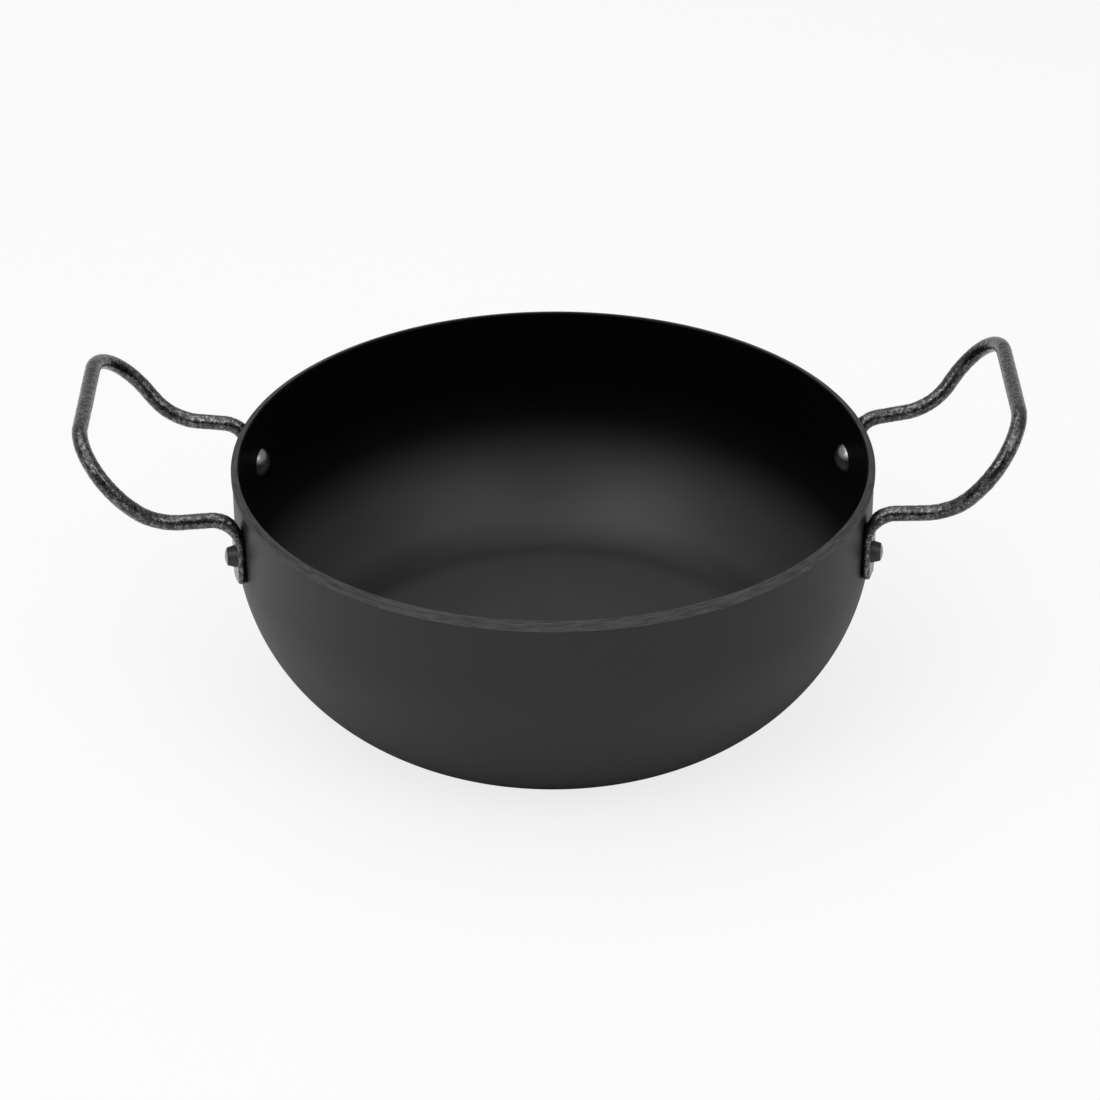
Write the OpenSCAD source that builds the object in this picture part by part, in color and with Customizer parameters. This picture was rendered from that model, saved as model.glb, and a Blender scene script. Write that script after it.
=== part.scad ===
// Deep round-sided carbon steel pan with two bent rod handles.
// The pan stands on z = 0 with its centre on the Z axis, and its handles
// point along -X (left) and +X (right). The front is -Y.

/* [Bowl] */
// Diameter over the rim
pan_d = 260; // [236:1:300]
// Height from the resting face to the top of the rim
pan_h = 100; // [92:1:120]
// Diameter of the flat base
base_d = 176; // [150:1:196]
// Height of the upright band below the rim
band_h = 30.5; // [24:0.5:36]
// Radius where the side turns into the flat base, outside
corner_r = 12; // [6:0.5:20]
// Thickness of the side and the upright band
wall = 2.8; // [1.6:0.1:3.2]
// Thickness of the base
base_t = 3; // [2:0.1:4]

/* [Rim] */
// Height of the turned lip
lip_h = 3; // [2:0.1:5]
// How far the lip stands out from the wall
lip_proud = 0.4; // [0.2:0.1:0.8]
// Rounding of the lip's outer edges
lip_round = 0.9; // [0.8:0.1:1]
// Rounding of the rim's inner edge
rim_round = 0.4; // [0.2:0.1:0.8]

/* [Handle rod] */
// Diameter of the rod
rod_d = 6.2; // [5:0.1:8]
// Depth of the level rod's centre below the top of the rim
rod_drop = 5.5; // [3:0.5:8]
// Distance from the riveted tab out to the knee, the bend where the rod turns up
knee_out = 32.5; // [28:0.5:40]
// Distance from the riveted tab out to the grip bar
grip_out = 61.5; // [56:0.5:72]
// Height of the grip bar above the level rod
grip_up = 33; // [28:0.5:46]
// Distance between the two legs at the knees
knee_w = 87; // [82:0.5:94]
// Distance between the two legs where they would meet the grip bar
grip_w = 110.5; // [104:0.5:126]
// Bend radius of the rod at the wall
wall_bend_r = 11; // [8:0.5:12]
// Bend radius of the knees
knee_bend_r = 26; // [14:0.5:32]
// Bend radius of the grip's two corners, or as much of it as the legs have room for
grip_bend_r = 23.5; // [14:0.5:28]
// Lift of the left handle, in degrees above level
left_lift = 0.5; // [-5:0.1:8]
// Lift of the right handle, in degrees above level
right_lift = 5.7; // [-5:0.1:8]

/* [Riveted tabs] */
// Distance between the two tabs of a handle
tab_span = 77; // [72:0.5:82]
// Width of the flattened rod end
tab_w = 11; // [9.5:0.1:13]
// Thickness of the flattened rod end
tab_t = 3.2; // [2.4:0.1:4.2]
// Length of the tab below its rivet
tab_below = 12.5; // [8:0.5:16]
// Rounding of the tab's long edges
tab_edge = 1; // [0.4:0.1:1.2]

/* [Rivets] */
// Depth of the rivets below the top of the rim
rivet_drop = 22.5; // [20:0.5:24.5]
// Diameter of the rivet shank
shank_d = 5; // [3.5:0.1:6]
// Diameter of the outer head
outer_head_d = 10.3; // [8:0.1:11]
// Height of the outer head
outer_head_h = 3.2; // [2:0.1:4]
// Rounding of the outer head's edge
outer_head_round = 1.8; // [0.8:0.1:1.9]
// Diameter of the inner head
inner_head_d = 12; // [8:0.1:13]
// Height of the inner head
inner_head_h = 3.4; // [2:0.1:4.2]
// Gap round the shank in its holes
hole_gap = 0.05; // [0.02:0.01:0.2]

/* [Hidden] */
$fn = 96;
// Segments round the bowl
bowl_fn = 180;
// Degrees of arc for each straight piece of the bowl's outline
arc_step = 4;
// Overrun of the drilled holes past the faces they go through
over = 1;
// Sides of the handle rod, and degrees of bend between its rings
rod_sides = 20;
ring_step = 9;
// Degrees of the wall bend over which the flat tab swells to the round rod
swell = 55;
// The tab's round end starts this many degrees from its tip, in such steps
tip_from = 26;
tip_step = 16;

steel_colour = [0.23, 0.24, 0.25];
rod_colour = [0.36, 0.37, 0.38];
rivet_colour = [0.72, 0.72, 0.72];

pan_r = pan_d / 2;
wall_r = pan_r - lip_proud;
// Radius of the round side, which meets the upright band above and the turn
// below without a kink
side_run = wall_r - base_d / 2;
side_rise = pan_h - band_h - corner_r;
side_r = (side_run * side_run + side_rise * side_rise - corner_r * corner_r)
    / (2 * (side_run - corner_r));
inside_r = wall_r - wall;
tab_mid_r = wall_r + tab_t / 2;
tab_angle = asin(tab_span / 2 / tab_mid_r);
rivet_z = pan_h - rivet_drop;

// Points on a circle about centre c from angle a to angle b, both ends included
function arc(c, r, a, b) =
    let (n = max(2, ceil(abs(b - a) / arc_step)))
    [for (i = [0:n]) c + r * [cos(a + (b - a) * i / n), sin(a + (b - a) * i / n)]];

// The bowl's half section, from the flat base round the turn and the side to
// the upright band. Thickness t and floor height f give the inside face, and
// zero for both gives the outside face.
function side_centre() = [wall_r - side_r, pan_h - band_h];
function turn_centre(t, f) =
    let (c = side_centre(), reach = side_r - corner_r, fall = c[1] - f - corner_r + t)
    [c[0] + sqrt(reach * reach - fall * fall), f + corner_r - t];
function turn_angle(t, f) =
    let (d = turn_centre(t, f) - side_centre()) atan2(d[1], d[0]);
function skin(t, f) = concat(
    arc(turn_centre(t, f), corner_r - t, -90, turn_angle(t, f)),
    arc(side_centre(), side_r - t, turn_angle(t, f), 0));
function reversed(p) = [for (i = [len(p) - 1:-1:0]) p[i]];

function lip_outline() = concat(
    [[wall_r, pan_h - lip_h]],
    arc([pan_r - lip_round, pan_h - lip_h + lip_round], lip_round,
        -acos((lip_round - lip_proud) / lip_round), 0),
    arc([pan_r - lip_round, pan_h - lip_round], lip_round, 0, 90),
    arc([inside_r + rim_round, pan_h - rim_round], rim_round, 90, 180));

module bowl_section() {
    polygon(concat([[0, 0]], skin(0, 0), lip_outline(), reversed(skin(wall, base_t)),
        [[0, base_t]]));
}

// Puts children at a tab of the handle that points along +X: their +X points
// out from the pan, and their origin is the rivet's axis in the tab's middle
module at_tab(back) {
    rotate([0, 0, back ? tab_angle : -tab_angle])
        translate([tab_mid_r, 0, rivet_z]) children();
}

module rivet_hole() {
    translate([-tab_t / 2 - wall - over, 0, 0]) rotate([0, 90, 0])
        cylinder(d = shank_d + 2 * hole_gap, h = wall + tab_t + 2 * over);
}

// Corners of the back leg, from the rivet out to the middle of the grip bar
function turned(p, a) = [p[0] * cos(a) - p[1] * sin(a), p[0] * sin(a) + p[1] * cos(a)];
function leg_corners(lift) =
    let (
        x = tab_mid_r * cos(tab_angle), y = tab_mid_r * sin(tab_angle), z = pan_h - rod_drop,
        knee = turned([knee_out, 0], lift), grip = turned([grip_out, grip_up], lift))
    [[x, y, rivet_z], [x, y, z], [x + knee[0], knee_w / 2, z + knee[1]],
     [x + grip[0], grip_w / 2, z + grip[1]], [x + grip[0], 0, z + grip[1]]];

// A ring of the rod is its centre, its direction, its width, its thickness
// and the rounding of its edges. Share 0 is the flat tab and share 1 the rod.
function mixed(a, b, share) = a + (b - a) * share;
function ring(centre, dir, share) = [centre, dir, mixed(tab_w, rod_d, share),
    mixed(tab_t, rod_d, share), mixed(tab_edge, rod_d / 2, share)];
function tip_rings(foot) =
    let (end_r = tab_w / 2, up = [0, 0, 1])
    [for (a = [tip_from:tip_step:90]) [foot + up * end_r * (cos(tip_from) - cos(a)), up,
        tab_w * sin(a), tab_t, tab_edge]];

function unit(v) = v / norm(v);
// Rings round a bend of radius r at corner b, on the way from a to c, which
// swell from the flat tab over the first degrees given by flat
function bend_rings(a, b, c, r, flat) =
    let (
        u = unit(a - b), w = unit(c - b), half = acos(u * w) / 2,
        mid = b + unit(u + w) * r / sin(half),
        start = unit(b + u * r / tan(half) - mid), ahead = -u,
        sweep = 180 - 2 * half, n = ceil(sweep / ring_step))
    [for (i = [0:n]) let (g = sweep * i / n)
        ring(mid + r * (start * cos(g) + ahead * sin(g)), ahead * cos(g) - start * sin(g),
            flat == 0 ? 1 : min(1, g / flat))];

// Length of straight rod that a bend takes up on each side of its corner
function bend_reach(a, b, c, r) = r / tan(acos(unit(a - b) * unit(c - b)) / 2);

function leg_rings(lift) =
    let (
        p = leg_corners(lift),
        room = norm(p[3] - p[2]) - bend_reach(p[1], p[2], p[3], knee_bend_r),
        wanted = bend_reach(p[2], p[3], p[4], grip_bend_r),
        grip_r = grip_bend_r * min(room, wanted) / wanted)
    concat(
        tip_rings(p[0] - [0, 0, tab_below]),
        bend_rings(p[0], p[1], p[2], wall_bend_r, swell),
        bend_rings(p[1], p[2], p[3], knee_bend_r, 0),
        bend_rings(p[2], p[3], p[4], grip_r, 0));

// Width directions of the rings, carried along the rod without twist
function carried(rings, first) =
    [for (i = 0, s = first; i < len(rings); i = i + 1,
        s = i < len(rings) ? unit(s - rings[i][1] * (s * rings[i][1])) : s) s];

function ring_points(k, side_dir) =
    let (thick_dir = cross(k[1], side_dir), e = k[4])
    [for (j = [0:rod_sides - 1]) let (a = (j + 0.5) * 360 / rod_sides)
        k[0] + side_dir * (sign(cos(a)) * (k[2] / 2 - e) + e * cos(a))
            + thick_dir * (sign(sin(a)) * (k[3] / 2 - e) + e * sin(a))];

// A whole handle that points along +X, from the back tab to the front tab
module handle(lift) {
    rings = leg_rings(lift);
    dirs = carried(rings, [-sin(tab_angle), cos(tab_angle), 0]);
    back = [for (i = [0:len(rings) - 1]) ring_points(rings[i], dirs[i])];
    front = [for (i = [len(back) - 1:-1:0]) [for (p = back[i]) [p[0], -p[1], p[2]]]];
    points = [for (r = concat(back, front)) for (p = r) p];
    last = 2 * len(back) - 1;
    n = rod_sides;
    sides = [for (i = [0:last - 1]) for (j = [0:n - 1])
        let (a = i * n + j, b = i * n + (j + 1) % n)
            for (face = [[a, a + n, b + n], [a, b + n, b]]) face];
    caps = [[for (j = [0:n - 1]) j], [for (j = [n - 1:-1:0]) last * n + j]];
    difference() {
        polyhedron(points, concat(sides, caps));
        for (back_tab = [false, true]) at_tab(back_tab) rivet_hole();
    }
}

// One rivet through a tab and the wall: a dome inside, a button outside
module rivet(back) {
    seat_r = sqrt(pow(inside_r, 2) - pow(inner_head_d / 2, 2));
    dome_r = (pow(inner_head_d / 2, 2) + pow(inner_head_h, 2)) / (2 * inner_head_h);
    dome_half = asin(inner_head_d / 2 / dome_r);
    at_tab(back) translate([-tab_mid_r, 0, 0]) rotate([0, 90, 0]) {
        translate([0, 0, seat_r - inner_head_h / 2])
            cylinder(d = shank_d, h = wall_r + tab_t - seat_r + (inner_head_h + outer_head_h) / 2);
        translate([0, 0, wall_r + tab_t]) rotate_extrude()
            polygon(concat([[0, 0], [outer_head_d / 2, 0]],
                arc([outer_head_d / 2 - outer_head_round, outer_head_h - outer_head_round],
                    outer_head_round, 0, 90),
                [[0, outer_head_h]]));
        translate([0, 0, seat_r]) rotate_extrude()
            polygon(concat([[0, 0]],
                arc([0, dome_r - inner_head_h], dome_r, -90, dome_half - 90)));
    }
}

module pan_bowl() {
    color(steel_colour) difference() {
        rotate_extrude($fn = bowl_fn) bowl_section();
        for (side = [0, 1]) mirror([side, 0, 0]) for (back = [false, true])
            at_tab(back) rivet_hole();
    }
}

module handle_left() {
    color(rod_colour) mirror([1, 0, 0]) handle(left_lift);
}

module handle_right() {
    color(rod_colour) handle(right_lift);
}

module rivet_left_front() {
    color(rivet_colour) mirror([1, 0, 0]) rivet(false);
}

module rivet_left_back() {
    color(rivet_colour) mirror([1, 0, 0]) rivet(true);
}

module rivet_right_front() {
    color(rivet_colour) rivet(false);
}

module rivet_right_back() {
    color(rivet_colour) rivet(true);
}

pan_bowl();
handle_left();
handle_right();
rivet_left_front();
rivet_left_back();
rivet_right_front();
rivet_right_back();
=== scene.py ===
"""Deep round-sided steel pan with two hammered rod handles, dressed for the render."""
from math import asin, atan2, ceil, cos, pi, radians, sin, sqrt, tan

import bmesh
import bpy
from mathutils import Matrix, Vector


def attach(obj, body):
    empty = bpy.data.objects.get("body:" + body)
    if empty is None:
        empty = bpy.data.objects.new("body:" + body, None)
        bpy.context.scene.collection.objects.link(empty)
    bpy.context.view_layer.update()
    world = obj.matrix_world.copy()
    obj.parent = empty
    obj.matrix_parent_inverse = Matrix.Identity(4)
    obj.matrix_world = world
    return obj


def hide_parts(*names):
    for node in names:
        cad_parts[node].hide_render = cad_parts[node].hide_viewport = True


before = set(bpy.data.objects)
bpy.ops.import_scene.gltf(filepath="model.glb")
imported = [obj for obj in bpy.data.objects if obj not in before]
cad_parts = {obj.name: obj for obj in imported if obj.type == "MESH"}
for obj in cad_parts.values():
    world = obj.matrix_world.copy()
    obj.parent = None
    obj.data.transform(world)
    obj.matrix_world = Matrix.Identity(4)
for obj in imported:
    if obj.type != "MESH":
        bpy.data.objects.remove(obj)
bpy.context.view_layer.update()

# Shapes are drawn in millimetres, as in the part's source, and this makes them metres
MM = 0.001

# The bowl
PAN_R = 130.0
PAN_H = 100.0
BASE_R = 88.0
BAND_H = 30.5
CORNER_R = 12.0
INNER_TURN_R = 20.0
WALL = 2.8
BASE_T = 3.0
BAND_Z = PAN_H - BAND_H
# Nearer the centre than this, the base needs few faces
HUB_R = 40.0
BOWL_STEPS = 256

# The lip, which stands proud outside and falls outwards on top, and its ground rim
LIP_H = 2.8
LIP_PROUD = 0.4
LIP_ROUND = 0.6
LIP_SLOPE = 0.2
RIM_ROUND = 0.9
RIM_CROWN = 0.7
# The ground steel starts this far from the inside of the wall
RIM_BARE = 0.56
WALL_R = PAN_R - LIP_PROUD
INSIDE_R = WALL_R - WALL

# The bent rod of the handles, its bends and how many degrees each handle is lifted
ROD_D = 6.2
ROD_Z = 94.5
KNEE_OUT = 32.5
GRIP_OUT = 61.5
GRIP_UP = 33.0
KNEE_Y = 43.5
GRIP_Y = 55.25
WALL_BEND_R = 11.0
KNEE_BEND_R = 26.0
GRIP_BEND_R = 23.5
LIFT = {"left": 0.5, "right": 5.7}
ROD_SIDES = 52
RING_GAP = 0.38

# The riveted tabs, and the rounded, thinner tips below them
TAB_Y = 38.5
TAB_W = 11.0
TAB_T = 3.2
TAB_EDGE = 1.45
TAB_BELOW = 12.5
TAB_R = WALL_R + TAB_T / 2
TAB_ANGLE = asin(TAB_Y / TAB_R)
TIP_T = 1.1
TIP_ROUND = 2.2
# A tip's edges are rounded to this share of its thickness
TIP_EDGE = 0.45
# Where the rings of a tip lie round its end, from its lowest point up
TIP_ANGLES = [radians(angle) for angle in range(8, 90, 6)]
# The tab has swollen to the round rod after this much of the bend at the wall
SWELL = radians(55)

# The rivets
RIVET_Z = 77.5
RIVET_STEPS = 72
SHANK_R = 2.5
INNER_HEAD_R = 6.0
INNER_HEAD_H = 3.4
OUTER_HEAD_R = 4.5
OUTER_HEAD_SIDE = 3.05
OUTER_HEAD_TAPER = radians(16)
OUTER_HEAD_ROUND = 0.3
OUTER_HEAD_CROWN = radians(61)
OUTER_HEAD_SINK = 1.1
OUTER_HEAD_LEAN = radians(10)
# The dark of the sides ends this high above the tab
OUTER_HEAD_DARK = 3.15

# Faces and points are told apart by their place with this much slack
HAIR = 0.01
# Points nearer than this are one, in metres
MERGE_GAP = 1e-6
# Edges flatter than this are shaded smooth
SMOOTH_ANGLE = radians(40)

# The materials of a bowl's faces and of a rivet's, after the first
INSIDE, BARE = 1, 2
HEAD_SIDE = 1

# Where nearly all of a noise's values lie
NOISE = (0.3, 0.7)

# The hammered relief of the paint
HAMMER_SIZE = 1.4 * MM
HAMMER_DEPTH = 0.25 * MM

# The photo's camera: places in metres, angles in degrees, focal length in the photo's pixels
CAMERA_AWAY = 1.5
CAMERA_HEIGHT = 30.62
CAMERA_ROLL = -0.26
CAMERA_YAW = -0.303
CAMERA_AIM = Vector((-0.0014, 0, 0.05613))
FOCAL_PIXELS = 3655
PHOTO_PIXELS = 1100
SENSOR = 36

# The studio, in metres and degrees
WHITE = (1, 1, 1, 1)
FLOOR_R = 8
LAMP_AWAY = 2.2
DARK_SKY_HEIGHT = 28


def placed(mesh, name, *materials):
    """Makes an object of mesh and gives it its materials."""
    data = bpy.data.meshes.new(name)
    mesh.to_mesh(data)
    mesh.free()
    for material in materials:
        data.materials.append(material)
    made = bpy.data.objects.new(name, data)
    bpy.context.scene.collection.objects.link(made)
    return made


def finished(mesh, name, slot, node, *materials):
    """Turns mesh into a shaded piece that stands for a node."""
    bmesh.ops.recalc_face_normals(mesh, faces=mesh.faces)
    for face in mesh.faces:
        face.smooth = True
    for edge in mesh.edges:
        edge.smooth = not edge.is_manifold or edge.calc_face_angle(0) < SMOOTH_ANGLE
    piece = placed(mesh, name, *materials)
    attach(piece, "root")
    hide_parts(node)
    return piece


def on_side(mesh, side):
    """Brings a mesh that was made for the right to its own side."""
    if side == "left":
        bmesh.ops.scale(mesh, vec=(-1, 1, 1), verts=mesh.verts)
    return mesh


class Outline:
    """A half section in the XZ plane, drawn on from its first point and then spun round Z."""

    def __init__(self, x, z):
        self.mesh = bmesh.new()
        self.last = self.mesh.verts.new((x * MM, 0, z * MM))

    def to(self, x, z, parts):
        """Draws a straight line to (x, z)."""
        step = (Vector((x * MM, 0, z * MM)) - self.last.co) / parts
        self._grow(parts, dvec=step, angle=0)

    def arc(self, centre, turn, parts):
        """Draws on round centre, anticlockwise as seen from the front."""
        cent = Vector((centre[0] * MM, 0, centre[1] * MM))
        self._grow(parts, cent=cent, angle=-turn)

    def _grow(self, parts, **how):
        new = bmesh.ops.spin(self.mesh, geom=[self.last], axis=(0, 1, 0), steps=parts, **how)
        self.last = next(v for v in new["geom_last"] if isinstance(v, bmesh.types.BMVert))

    def spun(self, steps):
        """The closed solid that the section sweeps in a full turn."""
        mesh = self.mesh
        bmesh.ops.spin(mesh, geom=mesh.verts[:] + mesh.edges[:], axis=(0, 0, 1),
                       angle=2 * pi, steps=steps, use_merge=True)
        bmesh.ops.remove_doubles(mesh, verts=mesh.verts, dist=MERGE_GAP)
        return mesh


def skin_arcs(thick, floor, turn_r):
    """For one face of the wall: centres of the side and of the turn, and the side's angle."""
    run, rise = WALL_R - BASE_R, BAND_Z - CORNER_R
    side_r = (run ** 2 + rise ** 2 - CORNER_R ** 2) / (2 * (run - CORNER_R))
    reach = side_r - thick - turn_r
    fall = BAND_Z - floor - turn_r
    across = sqrt(reach ** 2 - fall ** 2)
    side = Vector((WALL_R - side_r, BAND_Z))
    turn = Vector((WALL_R - side_r + across, floor + turn_r))
    return side, turn, atan2(fall, across)


def make_bowl():
    """The spun bowl: flat base, turn, round side, upright band and turned lip."""
    out_side, out_turn, out_angle = skin_arcs(0, 0, CORNER_R)
    in_side, in_turn, in_angle = skin_arcs(WALL, BASE_T, INNER_TURN_R)
    lip_top, lip_low = PAN_H - LIP_ROUND, PAN_H - LIP_H
    outer = Vector((PAN_R - LIP_ROUND, lip_top))
    inner = Vector((INSIDE_R + RIM_ROUND, PAN_H + RIM_CROWN - RIM_ROUND))
    # the top of the lip is the common tangent of its two roundings
    across = outer - inner
    fall = asin((RIM_ROUND - LIP_ROUND) / across.length) - atan2(across.y, across.x)
    crest = inner + RIM_ROUND * Vector((sin(fall), cos(fall)))

    line = Outline(0, 0)
    line.to(HUB_R, 0, parts=2)
    line.to(out_turn.x, 0, parts=12)
    line.arc(out_turn, pi / 2 - out_angle, parts=12)
    line.arc(out_side, out_angle, parts=40)
    line.to(WALL_R, RIVET_Z, parts=3)
    line.to(WALL_R, lip_low - LIP_SLOPE, parts=8)
    line.to(PAN_R, lip_low + LIP_SLOPE, parts=2)
    line.to(PAN_R, lip_top, parts=3)
    line.arc(outer, pi / 2 - fall, parts=8)
    line.to(*crest, parts=4)
    line.arc(inner, pi / 2 + fall, parts=10)
    line.to(INSIDE_R, RIVET_Z, parts=8)
    line.to(INSIDE_R, BAND_Z, parts=3)
    line.arc(in_side, -in_angle, parts=40)
    line.arc(in_turn, in_angle - pi / 2, parts=12)
    line.to(HUB_R, BASE_T, parts=12)
    line.to(0, BASE_T, parts=2)
    mesh = line.spun(BOWL_STEPS)

    # the inside is nearer the side's centre than the middle of the wall
    middle_r = WALL_R - WALL / 2 - out_side.x
    for face in mesh.faces:
        spot = face.calc_center_median() / MM
        reach = spot.xy.length
        depth = (Vector((reach, min(spot.z, BAND_Z))) - out_side).length
        bare_top = spot.z > lip_top and reach > INSIDE_R + RIM_BARE
        if bare_top or reach > WALL_R + HAIR:
            face.material_index = BARE
        elif spot.z > BASE_T - HAIR and depth < middle_r:
            face.material_index = INSIDE
    return mesh


def bar_point(share, width, thick, edge):
    """A point of a rounded bar's section, at that share of the way round it."""
    wide, high, quarter = width - 2 * edge, thick - 2 * edge, edge * pi / 2
    at = share * 2 * (wide + high + 2 * quarter)
    spot, way = Vector((width / 2, 0)), Vector((0, 1))
    for flat in (high / 2, wide, high, wide):
        if at <= flat:
            break
        spot, at = spot + way * flat, at - flat
        inward = Vector((-way.y, way.x))
        if at <= quarter:
            turn = at / edge
            return spot + (way * sin(turn) + inward * (1 - cos(turn))) * edge
        spot, at = spot + (way + inward) * edge, at - quarter
        way = inward
    return spot + way * at


class Rod:
    """A bar that is drawn out ring by ring, along straights and round bends."""

    def __init__(self, place):
        self.mesh = bmesh.new()
        self.place = place
        ring = bmesh.ops.create_circle(self.mesh, segments=ROD_SIDES, radius=1)["verts"]
        self.ring = sorted(ring, key=lambda v: atan2(v.co.y, v.co.x) % (2 * pi))

    def shape(self, width=ROD_D, thick=ROD_D, edge=ROD_D / 2):
        """Gives the last ring its width, thickness and rounding, in its own place."""
        for number, vert in enumerate(self.ring):
            spot = bar_point(number / ROD_SIDES, width, thick, edge)
            vert.co = self.place @ spot.to_3d()

    def step(self, move, **section):
        """Draws one more ring and moves it on."""
        old = self.ring
        edges = [self.mesh.edges.get((old[i - 1], old[i])) for i in range(ROD_SIDES)]
        new = bmesh.ops.extrude_edge_only(self.mesh, edges=edges)["geom"]
        new = {e for e in new if isinstance(e, bmesh.types.BMVert)}
        self.ring = [next(e.other_vert(v) for e in v.link_edges if e.other_vert(v) in new)
                     for v in old]
        self.place = move @ self.place
        self.shape(**section)

    def run(self, way, **section):
        """Draws straight on."""
        parts = ceil(way.length / RING_GAP)
        for _ in range(parts):
            self.step(Matrix.Translation(way / parts), **section)

    def turn(self, centre, axis, angle, radius, swells):
        """Draws round a bend, in which a tab swells into the round rod."""
        parts = ceil(angle * radius / RING_GAP)
        around = (Matrix.Translation(centre) @ Matrix.Rotation(angle / parts, 4, axis)
                  @ Matrix.Translation(-centre))
        for number in range(1, parts + 1):
            section = swollen(angle * number / parts) if swells else {}
            self.step(around, **section)


def swollen(turned):
    """The section of a tab that swells into the rod, after that much of its bend."""
    share = min(1, turned / SWELL)
    return {"width": TAB_W + (ROD_D - TAB_W) * share,
            "thick": TAB_T + (ROD_D - TAB_T) * share,
            "edge": TAB_EDGE + (ROD_D / 2 - TAB_EDGE) * share}


def bend(before, corner, after, radius):
    """A bend's start, end, centre, axis and angle where a rod turns a corner."""
    back, ahead = (before - corner).normalized(), (after - corner).normalized()
    half = back.angle(ahead) / 2
    centre = corner + (back + ahead).normalized() * radius / sin(half)
    reach = radius / tan(half)
    axis = ahead.cross(back).normalized()
    return corner + back * reach, corner + ahead * reach, centre, axis, pi - 2 * half


def leg_corners(lift):
    """Corners of the back leg of the +X handle, from the tip to the middle of the grip."""
    lifted = Matrix.Rotation(radians(lift), 2)
    knee = lifted @ Vector((KNEE_OUT, 0))
    grip = lifted @ Vector((GRIP_OUT, GRIP_UP))
    x = TAB_R * cos(TAB_ANGLE)
    return [Vector((x, TAB_Y, RIVET_Z - TAB_BELOW)),
            Vector((x, TAB_Y, ROD_Z)),
            Vector((x + knee.x, KNEE_Y, ROD_Z + knee.y)),
            Vector((x + grip.x, GRIP_Y, ROD_Z + grip.y)),
            Vector((x + grip.x, 0, ROD_Z + grip.y))]


def draw_tip(rod, out):
    """Draws a tab's tip, rounded and thinner towards its end, and tells how high it is."""
    first, *others = TIP_ANGLES
    rise, thick = 0.0, TIP_T
    rod.shape(TAB_W * sin(first), thick, thick * TIP_EDGE)
    bottom = rod.ring[:]
    for angle in others:
        height = TAB_W / 2 * (cos(first) - cos(angle))
        short = 1 - min(1, height / TIP_ROUND)
        fuller = TIP_T + (TAB_T - TIP_T) * sqrt(1 - short ** 2)
        # the inner face stays on the wall
        move = out * (fuller - thick) / 2 + Vector((0, 0, height - rise))
        rod.step(Matrix.Translation(move), width=TAB_W * sin(angle), thick=fuller,
                 edge=min(TAB_EDGE, fuller * TIP_EDGE))
        rise, thick = height, fuller
    rod.mesh.faces.new(bottom)
    return rise


def make_handle(side):
    """One handle: tip, tab, bend at the wall, knee and grip, mirrored to the front."""
    corners = leg_corners(LIFT[side])
    out = Vector((cos(TAB_ANGLE), sin(TAB_ANGLE), 0))
    wide = Vector((-sin(TAB_ANGLE), cos(TAB_ANGLE), 0))
    place = Matrix((wide, out, Vector((0, 0, 1)))).transposed().to_4x4()
    place.translation = corners[0] - out * (TAB_T - TIP_T) / 2
    rod = Rod(place)
    here = corners[0] + Vector((0, 0, draw_tip(rod, out)))

    # the bend at the grip takes no more room than the knee leaves it
    knee_end = bend(*corners[1:4], KNEE_BEND_R)[1]
    grip_start = bend(*corners[2:5], GRIP_BEND_R)[0]
    room = (corners[3] - corners[2]).length - (knee_end - corners[2]).length
    wanted = (grip_start - corners[3]).length
    grip_r = GRIP_BEND_R * min(room, wanted) / wanted
    for number, radius in enumerate((WALL_BEND_R, KNEE_BEND_R, grip_r)):
        start, end, centre, axis, angle = bend(*corners[number:number + 3], radius)
        at_wall = number == 0
        section = swollen(0) if at_wall else {}
        rod.run(start - here, **section)
        rod.turn(centre, axis, angle, radius, swells=at_wall)
        here = end
    rod.run(corners[4] - here)

    mesh = rod.mesh
    bmesh.ops.scale(mesh, vec=(MM, MM, MM), verts=mesh.verts)
    bmesh.ops.mirror(mesh, geom=mesh.verts[:] + mesh.edges[:] + mesh.faces[:],
                     axis="Y", merge_dist=MERGE_GAP)
    return on_side(mesh, side)


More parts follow.
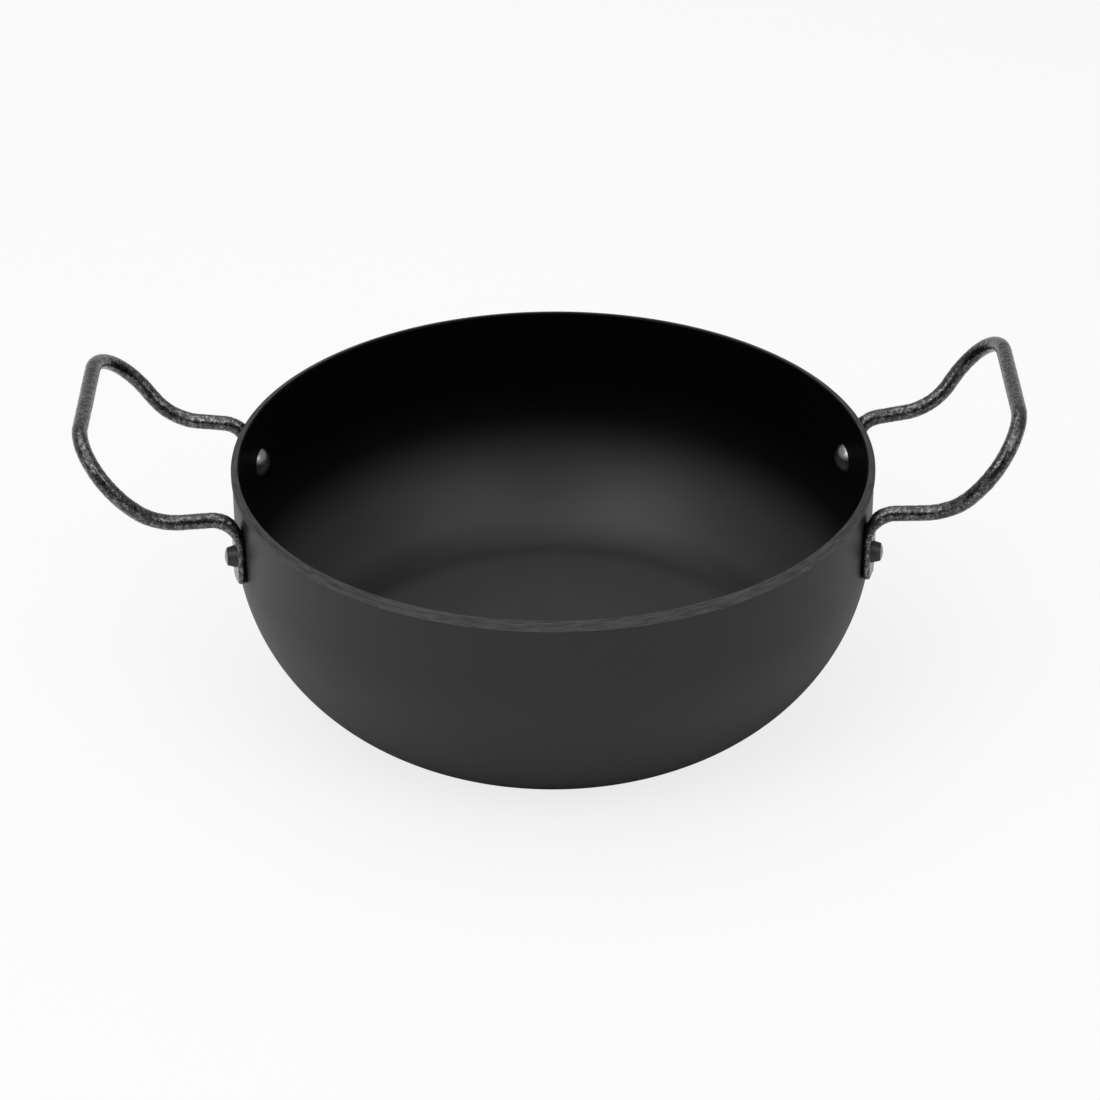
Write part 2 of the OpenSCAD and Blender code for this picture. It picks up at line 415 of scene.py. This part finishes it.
def make_rivet(side, end):
    """One rivet: domed head inside, shank, and a tapered, crowned head outside."""
    way = 1 if end == "back" else -1
    seat = sqrt(INSIDE_R ** 2 - INNER_HEAD_R ** 2)
    dome_r = (INNER_HEAD_R ** 2 + INNER_HEAD_H ** 2) / (2 * INNER_HEAD_H)
    tab_face = WALL_R + TAB_T
    foot, shoulder = tab_face - OUTER_HEAD_SINK, tab_face + OUTER_HEAD_SIDE
    foot_r = OUTER_HEAD_R + OUTER_HEAD_SINK * tan(OUTER_HEAD_TAPER)
    shoulder_r = OUTER_HEAD_R - OUTER_HEAD_SIDE * tan(OUTER_HEAD_TAPER)
    round_r = shoulder_r - OUTER_HEAD_ROUND * cos(OUTER_HEAD_TAPER)
    round_z = shoulder - OUTER_HEAD_ROUND * sin(OUTER_HEAD_TAPER)

    line = Outline(0, seat - INNER_HEAD_H)
    line.arc((0, seat - INNER_HEAD_H + dome_r), asin(INNER_HEAD_R / dome_r), parts=20)
    line.to(SHANK_R, seat, parts=2)
    line.to(SHANK_R, foot, parts=2)
    line.to(foot_r, foot, parts=2)
    line.to(shoulder_r, shoulder, parts=6)
    line.arc((round_r, round_z), OUTER_HEAD_CROWN - OUTER_HEAD_TAPER, parts=8)
    line.arc((0, round_z - round_r * tan(OUTER_HEAD_CROWN)), pi / 2 - OUTER_HEAD_CROWN, parts=8)
    mesh = line.spun(RIVET_STEPS)
    for face in mesh.faces:
        height = face.calc_center_median().z / MM
        if foot - HAIR < height < tab_face + OUTER_HEAD_DARK:
            face.material_index = HEAD_SIDE

    # laid along X, its outer head leaning towards the way the handle points
    bmesh.ops.rotate(mesh, matrix=Matrix.Rotation(pi / 2, 3, "Y"), verts=mesh.verts)
    head = [v for v in mesh.verts if v.co.x > (foot - HAIR) * MM]
    lean = Matrix.Rotation(-way * OUTER_HEAD_LEAN, 3, "Z")
    bmesh.ops.rotate(mesh, cent=(tab_face * MM, 0, 0), matrix=lean, verts=head)
    turn = Matrix.Rotation(way * TAB_ANGLE, 3, "Z")
    bmesh.ops.rotate(mesh, matrix=turn, verts=mesh.verts)
    bmesh.ops.translate(mesh, vec=(0, 0, RIVET_Z * MM), verts=mesh.verts)
    return on_side(mesh, side)


class Nodes:
    """A tree of shader nodes that read one kind of coordinates."""

    def __init__(self, tree, coords):
        self.tree = tree
        self.coords = self.node("TexCoord").outputs[coords]

    def feed(self, node, inputs):
        """Sets a node's inputs, by name or number, to values or links."""
        for key, value in inputs.items():
            if isinstance(value, bpy.types.NodeSocket):
                self.tree.links.new(value, node.inputs[key])
            else:
                node.inputs[key].default_value = value

    def node(self, kind, inputs=None, **settings):
        """A new node with its inputs and settings."""
        new = self.tree.nodes.new("ShaderNode" + kind)
        for key, value in settings.items():
            setattr(new, key, value)
        self.feed(new, inputs or {})
        return new

    def math(self, operation, *values, **settings):
        """What an operation makes of values and links."""
        inputs = dict(enumerate(values))
        return self.node("Math", inputs, operation=operation, **settings).outputs[0]

    def range(self, value, old, new):
        """Maps the old (low, high) range of a value to a new one."""
        return self.node("MapRange", {
            "Value": value, "From Min": old[0], "From Max": old[1],
            "To Min": new[0], "To Max": new[1]}).outputs["Result"]

    def smooth_range(self, value, old, new):
        """The same with a soft start and end."""
        made = self.range(value, old, new)
        made.node.interpolation_type = "SMOOTHSTEP"
        return made

    def places(self):
        """X, Y and Z of the coordinates, and how far they are from the Z axis."""
        x, y, z = self.node("SeparateXYZ", {0: self.coords}).outputs
        flat = self.node("CombineXYZ", {0: x, 1: y}).outputs[0]
        reach = self.node("VectorMath", {0: flat}, operation="LENGTH").outputs["Value"]
        return x, y, z, reach

    def noise(self, scale, detail=2, roughness=0.5, coords=None):
        """Noise in that many waves a metre."""
        return self.node("TexNoise", {
            "Vector": coords or self.coords, "Scale": scale, "Detail": detail,
            "Roughness": roughness}).outputs["Fac"]

    def grey(self, value):
        """The grey of a value."""
        return self.node("CombineColor", {0: value, 1: value, 2: value}).outputs[0]

    def ramp(self, value, *stops):
        """Greys along a value, from (value, grey) stops."""
        new = self.node("ValToRGB", {"Fac": value})
        points = new.color_ramp.elements
        while len(points) < len(stops):
            points.new(0.5)
        for point, (position, grey) in zip(points, stops):
            point.position = position
            point.color = (grey, grey, grey, 1)
        return new.outputs["Color"]

    def bump(self, height, distance, strength=1):
        """A normal from a height, which stands for that many metres."""
        return self.node("Bump", {
            "Height": height, "Distance": distance, "Strength": strength}).outputs["Normal"]

    def show(self, shader, output):
        """Makes a shader what the tree's output shows."""
        self.feed(self.tree.nodes[output], {"Surface": shader.outputs[0]})


class Finish(Nodes):
    """A material on object coordinates."""

    def __init__(self, name):
        self.material = bpy.data.materials.new(name)
        self.material.use_nodes = True
        super().__init__(self.material.node_tree, "Object")

    def wear(self, inputs):
        """Sets or links what the surface is made of."""
        self.feed(self.tree.nodes["Principled BSDF"], inputs)


def seasoned(name):
    """Satin seasoned steel that has no colour yet, and its clouds."""
    finish = Finish(name)
    cloud, grain = finish.noise(28, detail=3), finish.noise(1500)
    mottled = finish.math("ADD", cloud, grain)
    finish.wear({"Roughness": finish.range(mottled, (0.7, 1.3), (0.42, 0.48)),
                 "Normal": finish.bump(grain, 0.01 * MM)})
    return finish, cloud


def seasoned_outside():
    """Dark seasoned steel, as it is outside."""
    finish, cloud = seasoned("seasoned_outside")
    finish.wear({"Base Color": finish.ramp(cloud, (0.3, 0.009), (0.7, 0.011)), "IOR": 1.46})
    return finish.material


def seasoned_inside_painted_shade():
    """The same steel inside, with painted shade that makes it darkest up the wall and round the
    edge of the floor.
    """
    finish, cloud = seasoned("seasoned_inside_painted_shade")
    *_, height, reach = finish.places()
    # the greys, and where in metres one turns into the next; the wall and band greys are painted
    # shade, up the wall and in the crease round the floor's edge
    wall, side, band, floor = 0.0006, 0.0365, 0.011, 0.0435
    wall_start, side_start, floor_end = (0.026, 0.052), (0.0045, 0.0145), (0.082, 0.0965)
    up_wall_painted_shade = finish.smooth_range(height, wall_start, (side, wall))
    crease_painted_shade = finish.smooth_range(height, side_start, (band, side))
    on_floor = finish.smooth_range(reach, floor_end, (floor, 0))
    shade = finish.math("MAXIMUM", finish.math("MINIMUM", up_wall_painted_shade, crease_painted_shade), on_floor)
    cloudy = finish.range(cloud, NOISE, (0.95, 1.05))
    # less gloss up the wall adds to the painted shade there
    gloss = finish.smooth_range(height, (0.04, 0.072), (0.5, 0.155))
    finish.wear({"Base Color": finish.grey(finish.math("MULTIPLY", shade, cloudy)),
                 "IOR": 1.39,
                 "Specular IOR Level": gloss})
    return finish.material


def ground_rim():
    """Bare ground steel of the rim and lip: matte, with fine marks from turning, painted light
    on the lip's side and painted shade on the rim's top.
    """
    finish = Finish("ground_rim")
    x, y, height, reach = finish.places()
    # a turn counts as a few millimetres, which draws each mark out along it
    turn = finish.math("MULTIPLY", finish.math("ARCTAN2", y, x), 6 * MM)
    turned = finish.node("CombineXYZ", {0: reach, 1: turn, 2: height}).outputs[0]
    marks = finish.noise(2600, roughness=0.6, coords=turned)
    light = finish.range(marks, NOISE, (0.028, 0.088))
    cloud = finish.range(finish.noise(24), NOISE, (0.92, 1.08))
    # painted light and shade: the lip's side lighter and the top of the rim darker
    lip_painted_light = finish.smooth_range(height, (0.0992, 0.0999), (1.3, 0.95))
    light = finish.math("MULTIPLY", finish.math("MULTIPLY", light, cloud), lip_painted_light)
    finish.wear({"Base Color": finish.grey(light),
                 "Roughness": finish.range(marks, NOISE, (0.56, 0.66)),
                 "IOR": 1.33,
                 "Specular IOR Level": 0.25,
                 "Normal": finish.bump(marks, 0.02 * MM)})
    return finish.material


def hammered_paint():
    """Grey hammered paint on the rod: dark veins and small silver flecks."""
    finish = Finish("hammered_paint")
    flecks, grain = finish.noise(600, detail=3, roughness=0.62), finish.noise(2600)
    share = finish.range(finish.math("ADD", flecks, grain), (0.6, 1.4), (0, 1))
    relief = finish.bump(flecks, 0.16 * MM, strength=0.6)
    finish.wear({"Base Color": finish.ramp(share, (0.36, 0.006), (0.48, 0.024), (0.58, 0.062),
                                           (0.7, 0.22)),
                 "Metallic": 1,
                 "Roughness": finish.range(flecks, NOISE, (0.34, 0.24)),
                 "Normal": relief,
                 "Coat Weight": 1,
                 "Coat Roughness": 0.26,
                 "Coat IOR": 1.52,
                 "Coat Normal": relief})
    return finish.material


def hammer(piece):
    """Raises the paint's relief on a rod."""
    relief = bpy.data.textures.new("hammer_relief", "CLOUDS")
    relief.noise_scale = HAMMER_SIZE
    relief.noise_depth = 1
    modifier = piece.modifiers.new("hammer_relief", "DISPLACE")
    modifier.texture = relief
    modifier.texture_coords = "LOCAL"
    modifier.strength = HAMMER_DEPTH
    modifier.mid_level = 0.5


def rivet_steel(name, roughness, depth):
    """A rivet's scratched steel that has no colour yet."""
    finish = Finish(name)
    scratches = finish.noise(1600, detail=3)
    finish.wear({"Metallic": 1,
                 "Roughness": finish.range(scratches, NOISE, roughness),
                 "Normal": finish.bump(scratches, depth)})
    return finish


def polished_rivet():
    """Bright steel of the domed heads inside and of the crowns outside."""
    finish = rivet_steel("polished_rivet", (0.26, 0.34), 0.02 * MM)
    finish.wear({"Base Color": (0.34, 0.34, 0.335, 1)})
    return finish.material


def dark_rivet():
    """Duller, darker steel of the sides of the heads outside."""
    finish = rivet_steel("dark_rivet", (0.5, 0.58), 0.03 * MM)
    cloud = finish.noise(260, detail=3)
    finish.wear({"Base Color": finish.ramp(cloud, (0.3, 0.05), (0.7, 0.085))})
    return finish.material


def place_camera():
    """The photo's camera, as solved from the bowl's outlines, the rivets and the handles."""
    height, roll, yaw = radians(CAMERA_HEIGHT), radians(CAMERA_ROLL), radians(CAMERA_YAW)
    back = Vector((0, -cos(height), sin(height)))
    level = Vector((1, 0, 0))
    upright = back.cross(level)
    right = cos(roll) * level + sin(roll) * upright
    up = -sin(roll) * level + cos(roll) * upright
    turned = Matrix((right, up, back)).transposed().to_4x4()
    turned.translation = CAMERA_AIM + back * CAMERA_AWAY
    lens = bpy.data.cameras.new("camera")
    lens.sensor_width = SENSOR
    lens.lens = FOCAL_PIXELS / PHOTO_PIXELS * SENSOR
    lens.clip_end = 60
    camera = bpy.data.objects.new("camera", lens)
    camera.matrix_world = Matrix.Rotation(yaw, 4, "Z") @ turned
    bpy.context.scene.collection.objects.link(camera)
    bpy.context.scene.camera = camera


def pale_floor():
    """White to the camera but for a soft shadow; in the pan's reflections it has painted light
    away from the pan, and painted shade close to it, in front, behind and to the right.
    """
    finish = Finish("pale_floor")
    x, y, _, away = finish.places()
    path = finish.node("LightPath").outputs
    paleness, shown_white, end_dimming = 0.92, 0.8, 0.34
    # painted shade seen only in the pan's reflections: a painted shadow close to the pan, and
    # darker in front, behind and to the right
    painted_shadow_near_pan = finish.smooth_range(away, (0.1, 0.16), (-0.4, 0))
    end = finish.smooth_range(y, (-0.75, -0.5), (-0.85, 0))
    rear_painted_shade = finish.smooth_range(y, (0.08, 0.3), (0, -0.25))
    right = finish.smooth_range(x, (0.05, 0.28), (0, -0.22))
    painted_shade = painted_shadow_near_pan
    for part in (end, rear_painted_shade, right):
        painted_shade = finish.math("ADD", painted_shade, part)
    pale = finish.math("MULTIPLY_ADD", path["Is Glossy Ray"], painted_shade, paleness)
    # a painted light seen only in the pan's reflections, growing away from the pan and weaker in
    # front
    painted_glow = finish.smooth_range(away, (0.14, 0.4), (0, 0.3))
    painted_glow = finish.math("MULTIPLY_ADD", end, end_dimming, painted_glow, use_clamp=True)
    shown = finish.math("MULTIPLY", path["Is Camera Ray"], shown_white)
    share = finish.math("MULTIPLY_ADD", path["Is Glossy Ray"], painted_glow, shown)
    lit = finish.node("BsdfDiffuse", {"Color": pale})
    white = finish.node("Emission", {"Color": WHITE, "Strength": 1})
    finish.show(finish.node("MixShader", {0: share, 1: lit.outputs[0], 2: white.outputs[0]}),
                "Material Output")
    return finish.material


def lay_floor():
    """A wide round floor under the pan."""
    mesh = bmesh.new()
    bmesh.ops.create_circle(mesh, cap_ends=True, segments=96, radius=FLOOR_R)
    placed(mesh, "floor", pale_floor())


def aimed(turn, height):
    """The direction that many degrees to the right of the front, and above the floor."""
    a, e = radians(turn), radians(height)
    return Vector((sin(a) * cos(e), -cos(a) * cos(e), sin(e)))


def hang_softbox(name, turn, height, size, power):
    """A square lamp that faces the pan."""
    lamp = bpy.data.lights.new(name, "AREA")
    lamp.size = size
    lamp.energy = power
    softbox = bpy.data.objects.new(name, lamp)
    bpy.context.scene.collection.objects.link(softbox)
    softbox.location = aimed(turn, height) * LAMP_AWAY
    softbox.rotation_euler = aimed(turn, height).to_track_quat("Z", "Y").to_euler()


def paint_sky():
    """A white surround for the camera, and a soft studio sky for the object."""
    world = bpy.data.worlds.new("studio")
    bpy.context.scene.world = world
    world.use_nodes = True
    sky = Nodes(world.node_tree, "Generated")
    toward = sky.node("VectorMath", {0: sky.coords, 1: aimed(0, DARK_SKY_HEIGHT)},
                      operation="DOT_PRODUCT").outputs["Value"]
    # a dark round patch about the camera, and some more light from behind the pan
    outside, within = cos(radians(38)), cos(radians(14))
    front = sky.smooth_range(toward, (outside, within), (0.4, 0.06))
    behind = sky.smooth_range(toward, (-0.5, -0.9), (0, 0.28))
    studio = world.node_tree.nodes["Background"]
    sky.feed(studio, {"Color": WHITE, "Strength": sky.math("ADD", front, behind)})
    white = sky.node("Background", {"Color": WHITE})
    seen = sky.node("LightPath").outputs["Is Camera Ray"]
    sky.show(sky.node("MixShader", {0: seen, 1: studio.outputs[0], 2: white.outputs[0]}),
             "World Output")


bpy.context.scene.view_settings.view_transform = "Standard"
place_camera()
paint_sky()
hang_softbox("softbox_left", turn=-43, height=50, size=1.2, power=12.4)
hang_softbox("softbox_right", turn=43, height=50, size=1.2, power=7.8)
hang_softbox("softbox_top", turn=-129, height=79, size=2.2, power=17.5)
lay_floor()

finished(make_bowl(), "bowl", "pan_steel", "pan_bowl", seasoned_outside(), seasoned_inside_painted_shade(),
         ground_rim())
paint, bright, dark = hammered_paint(), polished_rivet(), dark_rivet()
for side in ("left", "right"):
    hammer(finished(make_handle(side), f"rod_handle_{side}", "hammered_rod", f"handle_{side}",
                    paint))
    for end in ("front", "back"):
        finished(make_rivet(side, end), f"rivet_{side}_{end}_shaped", "rivet_steel",
                 f"rivet_{side}_{end}", bright, dark)
